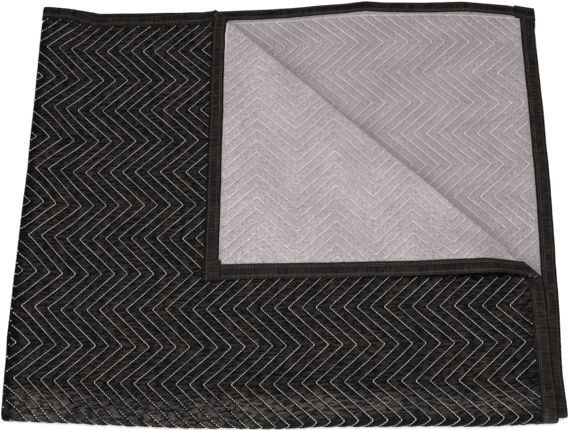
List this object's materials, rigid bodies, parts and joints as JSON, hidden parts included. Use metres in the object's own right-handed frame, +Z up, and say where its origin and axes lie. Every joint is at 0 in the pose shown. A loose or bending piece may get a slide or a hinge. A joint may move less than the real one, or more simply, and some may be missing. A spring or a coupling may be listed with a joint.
{
  "type": "moving pad",
  "caption": "Quilted cloth moving pad with taped edges, folded flat in quarters, with one corner of the top layer turned back.",
  "frame": {"origin": "centre of the folded pad's footprint, on the floor", "axes": "+X from the first fold to the open right edges, +Y from the thick second fold at the front to the open far edges, +Z up, out of the top layer"},
  "size_m": [1.0518, 0.9472, 0.0429],
  "materials": {
    "black": "matt black woven cloth",
    "grey": "matt mauve-grey woven cloth",
    "tape": "black woven binding tape"
  },
  "bodies": {
    "root": {"face_panel": "black", "back_panel": "grey", "binding_far_upper": "tape", "binding_far_lower": "tape", "binding_right_inner": "tape", "binding_right_outer": "tape"}
  },
  "joints": []
}
